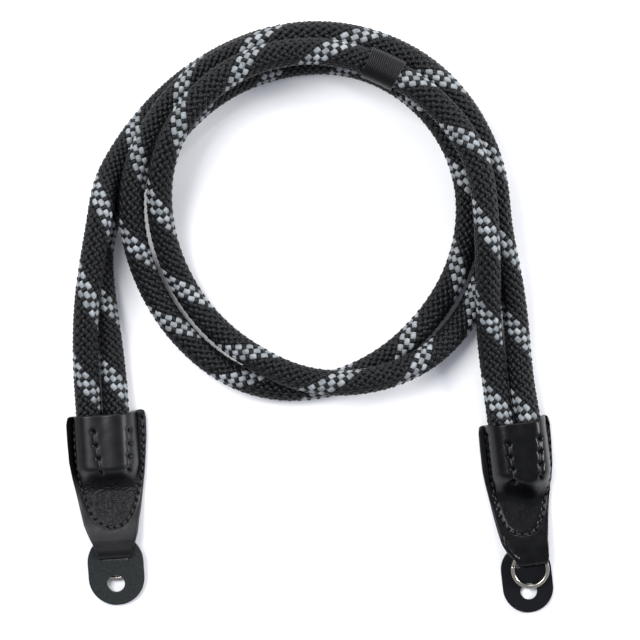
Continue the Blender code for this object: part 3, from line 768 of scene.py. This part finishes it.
def make_tab(tab, finish):
    """Rows run down the top, round the nose and back underneath."""
    nose = tab["length"] - LOOP_TOP / 2
    radius = (LOOP_TOP - LEATHER) / 2
    top_u = np.concatenate([MOUTH_STEPS, np.linspace(FIRST_ROW, nose, TOP_ROWS)])
    bend = np.linspace(0, np.pi, NOSE_ROWS)[1:-1]
    under_u = np.concatenate([np.linspace(nose, FIRST_ROW, UNDER_ROWS), MOUTH_STEPS[::-1]])
    u = np.concatenate([top_u, nose + radius * np.sin(bend), under_u])
    left, right = edges(tab, u)
    across, from_edge = columns(left, right)
    along = np.broadcast_to(u[:, None], across.shape)
    n, m = len(top_u), len(top_u) + len(bend)
    top = (tab, across[:n], along[:n])
    grain = tab["grain_in"] * ease(-0.6, 0.8, signed_inside(tab, across, along))
    push = np.zeros(across.shape)
    push[:n] = press(*top) + CREASE_DEPTH * grain[:n] * creases(*top[1:])
    height = np.empty(across.shape)
    height[:n] = unpressed_top(*top) - LEATHER / 2
    height[n:m] = LOOP_TOP / 2 + radius * np.cos(bend)[:, None]
    height[m:] = LEATHER / 2 - FACE_GAP
    half = (LEATHER / 2 - FACE_GAP) * rounded(from_edge) * rounded(u)[:, None]
    middle = to_world(tab, across, along + skew(tab, across, along), height)
    points, faces = thick_sheet(middle, half * MM, push * MM)
    piece = make_piece(tab["name"] + "_tab", points, faces, finish)
    # Painted shade, carried in the holes attribute: black and without gloss on the pocket's left
    # flank
    flank_shade = tab["flank_shade"] * ease(*FLANK_SHADE_ACROSS, -across) * (1 - ease(*FLANK_SHADE_ALONG, along))
    holes = np.zeros(across.shape)
    # The holes attribute is painted shade: in the stitch holes and on the pocket's left flank
    holes[:n] = np.maximum(painted_hole_shade(*top), flank_shade[:n])
    for label, value in (("grain", grain), ("holes", holes)):
        layer = piece.data.attributes.new(label, "FLOAT", "POINT")
        both_faces = np.concatenate([value.ravel(), np.zeros(value.size)])
        layer.data.foreach_set("value", both_faces.astype(np.float32))
    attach(piece, "root")
    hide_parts(tab["name"] + "_leather_end")
    print(piece.name, len(faces), "faces")


# %% [markdown]
# ## Leather finish
# The tabs are drum-dyed, pressed and waxed cowhide. Waxed leather is smooth with a soft, uneven
# gloss and a few creases, and where the press has not reached it shows pebbled grain about
# 1 mm wide. The left protector shows its flesh side, which scatters light like felt, and the
# right one its smooth side.


# %% Leather materials
def leather_material(name, specular, smooth, rough):
    """Gloss from roughness, fine pores everywhere, pebbles where the grain attribute is high,
    and painted shade, black and without gloss, where the holes attribute is: in the stitch holes
    and on the pocket's left flank."""
    made, tree, shader = start_material(name, "#070708", 0.36, Specular_IOR_Level=specular)
    place = add(tree, "ShaderNodeTexCoord").outputs["Object"]
    grain = add(tree, "ShaderNodeAttribute", attribute_name="grain").outputs["Fac"]
    holes = add(tree, "ShaderNodeAttribute", attribute_name="holes").outputs["Fac"]
    warp = add(tree, "ShaderNodeTexNoise", {"Vector": place, "Scale": 900.0, "Detail": 2.0})
    warped = {0: 0.0006, 1: place, 2: warp.outputs["Color"]}
    warped = add(tree, "ShaderNodeMixRGB", warped, blend_type="ADD").outputs[0]
    cells = {"Vector": warped, "Scale": 850.0}
    pebble = add(tree, "ShaderNodeTexVoronoi", cells, feature="SMOOTH_F1").outputs["Distance"]
    fine = add_noise(tree, place, 3000.0, 3.0)
    broad = add_noise(tree, place, 220.0, 3.0)
    deep = add_math(tree, "MULTIPLY", grain, 3.0)
    relief = add_math(tree, "MULTIPLY", pebble, deep)
    relief = add_math(tree, "MULTIPLY_ADD", fine, 0.12, relief)
    relief = add_math(tree, "MULTIPLY_ADD", broad, 0.5, relief)
    add_bump(tree, shader, relief, 0.7, 0.00028)
    uneven = add(tree, "ShaderNodeMapRange", {"Value": broad, "To Min": smooth, "To Max": rough})
    uneven = add_math(tree, "MULTIPLY_ADD", grain, 0.16, uneven.outputs["Result"])
    tree.links.new(uneven, shader.inputs["Roughness"])
    dye = add_ramp(tree, broad, 0.3, "#040405", 0.75, "#0a0a0c")
    # Painted shade: black, and no gloss, where the holes attribute is, in the stitch holes and on
    # the pocket's left flank
    shade = add(tree, "ShaderNodeMixRGB", {0: holes, 1: dye, 2: linear("#010101")})
    tree.links.new(shade.outputs[0], shader.inputs["Base Color"])
    gloss = add(tree, "ShaderNodeMapRange", {"Value": holes, "To Min": specular, "To Max": 0.0})
    tree.links.new(gloss.outputs["Result"], shader.inputs["Specular IOR Level"])
    return made


def suede_material(name, dark, light, roughness, nap, specular):
    """Nap: the product of two noises, 0.25 and 1.1 mm wide, in colour and bump."""
    made, tree, shader = start_material(
        name, dark, roughness, Sheen_Weight=nap, Sheen_Roughness=0.6, Specular_IOR_Level=specular)
    place = add(tree, "ShaderNodeTexCoord").outputs["Object"]
    fine = add_noise(tree, place, 4000.0, 2.0)
    broad = add_noise(tree, place, 900.0, 3.0)
    both = add_math(tree, "MULTIPLY", fine, broad)
    tree.links.new(add_ramp(tree, both, 0.12, dark, 0.42, light), shader.inputs["Base Color"])
    add_bump(tree, shader, both, 0.2 + 0.6 * nap, 0.0002)
    return made


make_tab(LEFT_TAB, leather_material("waxed_black_leather", 0.3, 0.28, 0.46))
make_tab(RIGHT_TAB, leather_material("polished_black_leather", 0.2, 0.20, 0.34))

# %% [markdown]
# ## Stitches
# A saddle stitch goes down one hole and comes up at the next, so each stitch is a short bowed
# capsule with its ends below the leather. A sweep of few sides is enough for a thread this thin.


# %% Stitch meshes
SEWING_THREAD = start_material("bonded_nylon_thread", "#222226", 0.45)[0]
STITCH_INSET = 0.12  # share of the way between two holes that a stitch stays off each
STITCH_SINK = 0.25
STITCH_BOW = 0.5


def stitch_points(tab, start, end, sides=6, rings=7):
    """Thread of radius r sqrt(1 - |2t - 1|^6) on a bow of height h (1 - |2t - 1|^3), where t
    runs from 0 to 1 between two holes."""
    t = 0.5 - 0.5 * np.cos(np.pi * np.linspace(0.0, 1.0, rings))
    share = STITCH_INSET + (1 - 2 * STITCH_INSET) * t
    across = start[0] + (end[0] - start[0]) * share
    along = start[1] + (end[1] - start[1]) * share
    bow = STITCH_BOW * (1 - np.abs(2 * t - 1) ** 3)
    path = to_world(tab, across, along, top_height(tab, across, along) - STITCH_SINK + bow)
    ahead = unit(np.gradient(path, axis=0))
    side = unit(np.cross(ahead, (0.0, 0.0, 1.0)))
    up = np.cross(side, ahead)
    radius = STITCH_RADIUS * MM * np.sqrt(np.clip(1 - np.abs(2 * t - 1) ** 6, 0.06, 1))
    return path[:, None] + ring_round(side, up, sides) * radius[:, None, None]


def make_stitches(tab, finish):
    """A stitch from every hole of every row to the next."""
    points, faces = [], []
    rows = [holes_of(row, kind[-1]) for kind in ROW_KINDS for row in tab[kind[0]]]
    for start, end in [span for holes in rows for span in zip(holes[:-1], holes[1:])]:
        rings = stitch_points(tab, start, end)
        count, sides = rings.shape[:2]
        faces += tube_faces(count, sides, start=len(points) * count * sides)
        points.append(rings.reshape(-1, 3))
    piece = make_piece(tab["name"] + "_stitches", np.concatenate(points), faces, finish)
    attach(piece, "root")
    print(piece.name, len(points), "stitches")


for one_tab in TABS:
    make_stitches(one_tab, SEWING_THREAD)

# %% [markdown]
# ## Split rings
# A split ring is two turns of flattened spring wire, one on the other, plated with nickel. The
# wire makes one helix, with its step where the ring crosses from one turn to the other.

# %% Split rings
RING_RADIUS = 7.1
WIRE_HALF_WIDTH = 0.8
WIRE_HALF_HEIGHT = 0.42
TURN_GAP = 0.02  # between the two turns
RING_FALL = 0.155  # how steeply a ring slopes down from the tab to the table
RING_START = math.radians(200)
STEP_ANGLE = 0.35  # half of the step from one turn to the other, in radians
TAPER_ANGLE = 0.12  # where the wire's ends round off, in radians


def nickel_material():
    """Nickel plate on spring steel: dark, bright and a little scratched."""
    made, tree, shader = start_material("nickel_plated_spring_steel", "#b3aca0", 0.18, Metallic=1.0)
    place = add(tree, "ShaderNodeTexCoord").outputs["Object"]
    scratches = add_noise(tree, place, 1200.0, 3.0)
    rough = add(tree, "ShaderNodeMapRange", {"Value": scratches, "To Min": 0.14, "To Max": 0.32})
    tree.links.new(rough.outputs["Result"], shader.inputs["Roughness"])
    return made


def make_split_ring(tab, finish, per_turn=72, sides=12):
    """Helix of two turns: radius fixed, height from -h to +h in a smooth step past the first turn.
    The wire's section is an ellipse (x/a)^2 + (z/b)^2 = 1, smaller at the wire's ends."""
    angle = np.linspace(0, 4 * np.pi, 2 * per_turn + 1)
    step = ease(2 * np.pi - STEP_ANGLE, 2 * np.pi + STEP_ANGLE, angle)
    level = (2 * step - 1) * (WIRE_HALF_HEIGHT + TURN_GAP / 2)
    spin = np.linspace(0, 2 * np.pi, sides, endpoint=False)
    near_end = 1 - np.clip(np.minimum(angle, angle[-1] - angle) / TAPER_ANGLE, 0, 1)
    taper = np.sqrt(np.clip(1 - near_end ** 2, 0.15, 1))
    radius = RING_RADIUS + WIRE_HALF_WIDTH * np.cos(spin)[None, :] * taper[:, None]
    across = tab["ring_across"] + radius * np.cos(angle + RING_START)[:, None]
    past = radius * np.sin(angle + RING_START)[:, None]
    rise = level[:, None] + WIRE_HALF_HEIGHT * np.sin(spin)[None, :] * taper[:, None]
    height = tab["ring_height"] + rise - RING_FALL * past
    points = to_world(tab, across, tab["ring_along"] + past, height)
    piece = make_piece(tab["name"] + "_ring_wire", points, tube_faces(len(angle), sides), finish)
    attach(piece, "root")
    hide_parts(tab["name"] + "_split_ring")
    print(piece.name, len(piece.data.polygons), "faces")


NICKEL = nickel_material()
for one_tab in TABS:
    make_split_ring(one_tab, NICKEL)

# %% [markdown]
# ## Protectors
# A protector is a punched disc of thin leather that keeps the ring off the camera. It has a hole
# for the camera's lug and a slit for the tab. Its outline is a half circle, straight sides and
# a circle cut off short at the top. The face is filled flat with its holes, cut into rows and
# columns so that it can bend, and bent.

# %% Protectors: hole is (across, along, radius), slit is (across, half width, from, to), and
# bend is the height of the underside along the tab
PROTECTORS = {
    "left": {"half": 11.4, "end": 77.4, "first": 49.6, "upper": 59.8, "across": 0.4,
             "hole": (0.0, 68.6, 3.6), "slit": (0.2, 5.8, 55.6, 58.95),
             "bend": ((0.0, 4.35), (52.5, 4.35), (67.5, 2.03), (77.4, 0.15))},
    "right": {"half": 10.3, "end": 77.0, "first": 49.2, "upper": 59.2, "across": -2.1,
              "hole": (-2.0, 68.3, 3.4), "slit": (-0.5, 5.8, 55.2, 58.55),
              "bend": ((0.0, 1.80), (54.4, 1.80), (66.5, 0.15), (90.0, 0.15))},
}
PROTECTOR_THICK = 1.4
PROTECTOR_ROUND = 0.3
SLIT_CORNER = 0.8
BEND_ROWS = 26
BEND_COLUMNS = 16


def protector_outline(p, count=48):
    """Half circle round (across, end - half), straight sides, and a circle cut off at first."""
    low = p["end"] - p["half"]
    a = np.linspace(-np.pi / 2, np.pi / 2, count)
    reach = math.asin((p["upper"] - p["first"]) / p["half"])
    b = np.linspace(0.0, reach, 14)
    bottom = (p["across"] + p["half"] * np.sin(a), low + p["half"] * np.cos(a))
    right = (p["across"] + p["half"] * np.cos(b), p["upper"] - p["half"] * np.sin(b))
    left = (p["across"] - p["half"] * np.cos(b[::-1]), right[1][::-1])
    return np.concatenate([bottom, right, left], axis=1).T


def rounded_slit(across, half, near, far, per_corner=5):
    """Rectangle with its corners turned to quarter circles."""
    spots = []
    for k, (x, u) in enumerate(((1, 1), (-1, 1), (-1, -1), (1, -1))):
        a = np.pi / 2 * (k + np.linspace(0, 1, per_corner))
        cx = across + x * (half - SLIT_CORNER)
        cu = (near + far) / 2 + u * ((far - near) / 2 - SLIT_CORNER)
        spots.append(np.stack([cx + SLIT_CORNER * np.cos(a), cu + SLIT_CORNER * np.sin(a)], axis=1))
    return np.concatenate(spots)


def make_protector(tab, finish):
    """Outline, hole and slit filled as one flat face, cut into rows and columns, and bent."""
    p = PROTECTORS[tab["name"]]
    x, u, radius = p["hole"]
    a = np.linspace(0, 2 * np.pi, 40, endpoint=False)
    hole = np.stack([x + radius * np.cos(a), u + radius * np.sin(a)], axis=1)
    work = bmesh.new()
    for loop in (protector_outline(p), hole, rounded_slit(*p["slit"])):
        spots = [work.verts.new((x, u, 0.0)) for x, u in loop]
        for one, other in zip(spots, spots[1:] + spots[:1]):
            work.edges.new((one, other))
    bmesh.ops.triangle_fill(work, edges=work.edges[:], use_beauty=True)
    rows = np.linspace(p["first"] + 0.9, p["end"] - 0.7, BEND_ROWS)
    columns = np.linspace(-0.85, 0.85, BEND_COLUMNS) * p["half"] + p["across"]
    cuts = [((0, u, 0), (0, 1, 0)) for u in rows] + [((x, 0, 0), (1, 0, 0)) for x in columns]
    for place, normal in cuts:
        every = work.verts[:] + work.edges[:] + work.faces[:]
        bmesh.ops.bisect_plane(work, geom=every, plane_co=place, plane_no=normal, dist=1e-6)
    mesh = bpy.data.meshes.new("flat")
    work.to_mesh(mesh)
    work.free()
    flat = np.zeros(len(mesh.vertices) * 3)
    mesh.vertices.foreach_get("co", flat)
    faces = [list(f.vertices) for f in mesh.polygons]
    across, along, _ = flat.reshape(-1, 3).T
    under = np.interp(along, *np.array(p["bend"]).T)
    points = to_world(tab, across, along, under + PROTECTOR_THICK / 2)
    piece = make_piece(tab["name"] + "_disc", points, faces, finish)
    wall = piece.modifiers.new("thickness", "SOLIDIFY")
    wall.thickness = PROTECTOR_THICK * MM
    wall.offset = 0.0
    rim = piece.modifiers.new("rim", "BEVEL")
    rim.width = PROTECTOR_ROUND * MM
    rim.segments = 3
    rim.limit_method = "ANGLE"
    rim.angle_limit = math.radians(50)
    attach(piece, "root")
    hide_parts(tab["name"] + "_protector")
    print(piece.name, len(faces), "faces before its thickness")


FLESH_SIDE = suede_material("leather_flesh_side", "#070a0a", "#1d2525", 0.95, 0.10, 0.4)
SMOOTH_SIDE = suede_material("waxed_thin_leather", "#060608", "#0c0c10", 0.36, 0.0, 0.22)
make_protector(LEFT_TAB, FLESH_SIDE)
make_protector(RIGHT_TAB, SMOOTH_SIDE)

# %% [markdown]
# ## Table and light
# The strap lies on a white sweep in bright, soft light, with hardly a shadow, so the floor is
# white and the world is bright. Three soft lamps give the leather its shine: one high at the
# left, one behind the coil and a small one at the right.


# %% Floor, world and lamps
FLOOR_HALF = 0.8  # m
FLOOR_POINTS = 9
FLOOR_DROP = 0.0002  # m, so that no underside lies in the floor itself
AIM = (0.0, 0.08, 0.0)


def make_floor():
    """A square of floor just below z = 0, with 1.6 m sides."""
    side = np.linspace(-FLOOR_HALF, FLOOR_HALF, FLOOR_POINTS)
    x, y = np.meshgrid(side + VIEW_CENTRE[0], side + VIEW_CENTRE[1])
    points = np.stack([x, y, np.full(x.shape, -FLOOR_DROP)], axis=-1)
    paper = start_material("white_paper_sweep", "#ffffff", 0.9)[0]
    floor = make_piece("floor", points, grid_faces(FLOOR_POINTS, FLOOR_POINTS), paper)


def add_area(name, place, size, watts):
    """A square soft lamp at place that faces the strap."""
    data = bpy.data.lights.new(name, "AREA")
    data.shape = "SQUARE"
    data.size = size
    data.energy = watts
    lamp = bpy.data.objects.new(name, data)
    lamp.location = place
    lamp.rotation_euler = (Vector(AIM) - Vector(place)).to_track_quat("-Z", "Y").to_euler()
    bpy.context.scene.collection.objects.link(lamp)


def make_world(colour, strength):
    """Even light from all sides."""
    world = bpy.data.worlds.new("bright_studio")
    world.use_nodes = True
    background = world.node_tree.nodes["Background"]
    background.inputs["Color"].default_value = linear(colour)
    background.inputs["Strength"].default_value = strength
    bpy.context.scene.world = world


make_floor()
make_world("#e9eeff", 0.5)
add_area("key_softbox", (-0.65, 0.40, 1.15), 0.7, 17.0)
add_area("back_softbox", (0.1, 1.2, 0.55), 0.5, 7.0)
add_area("right_softbox", (1.1, 0.25, 0.60), 0.32, 12.0)
bpy.context.scene.view_settings.view_transform = "Standard"
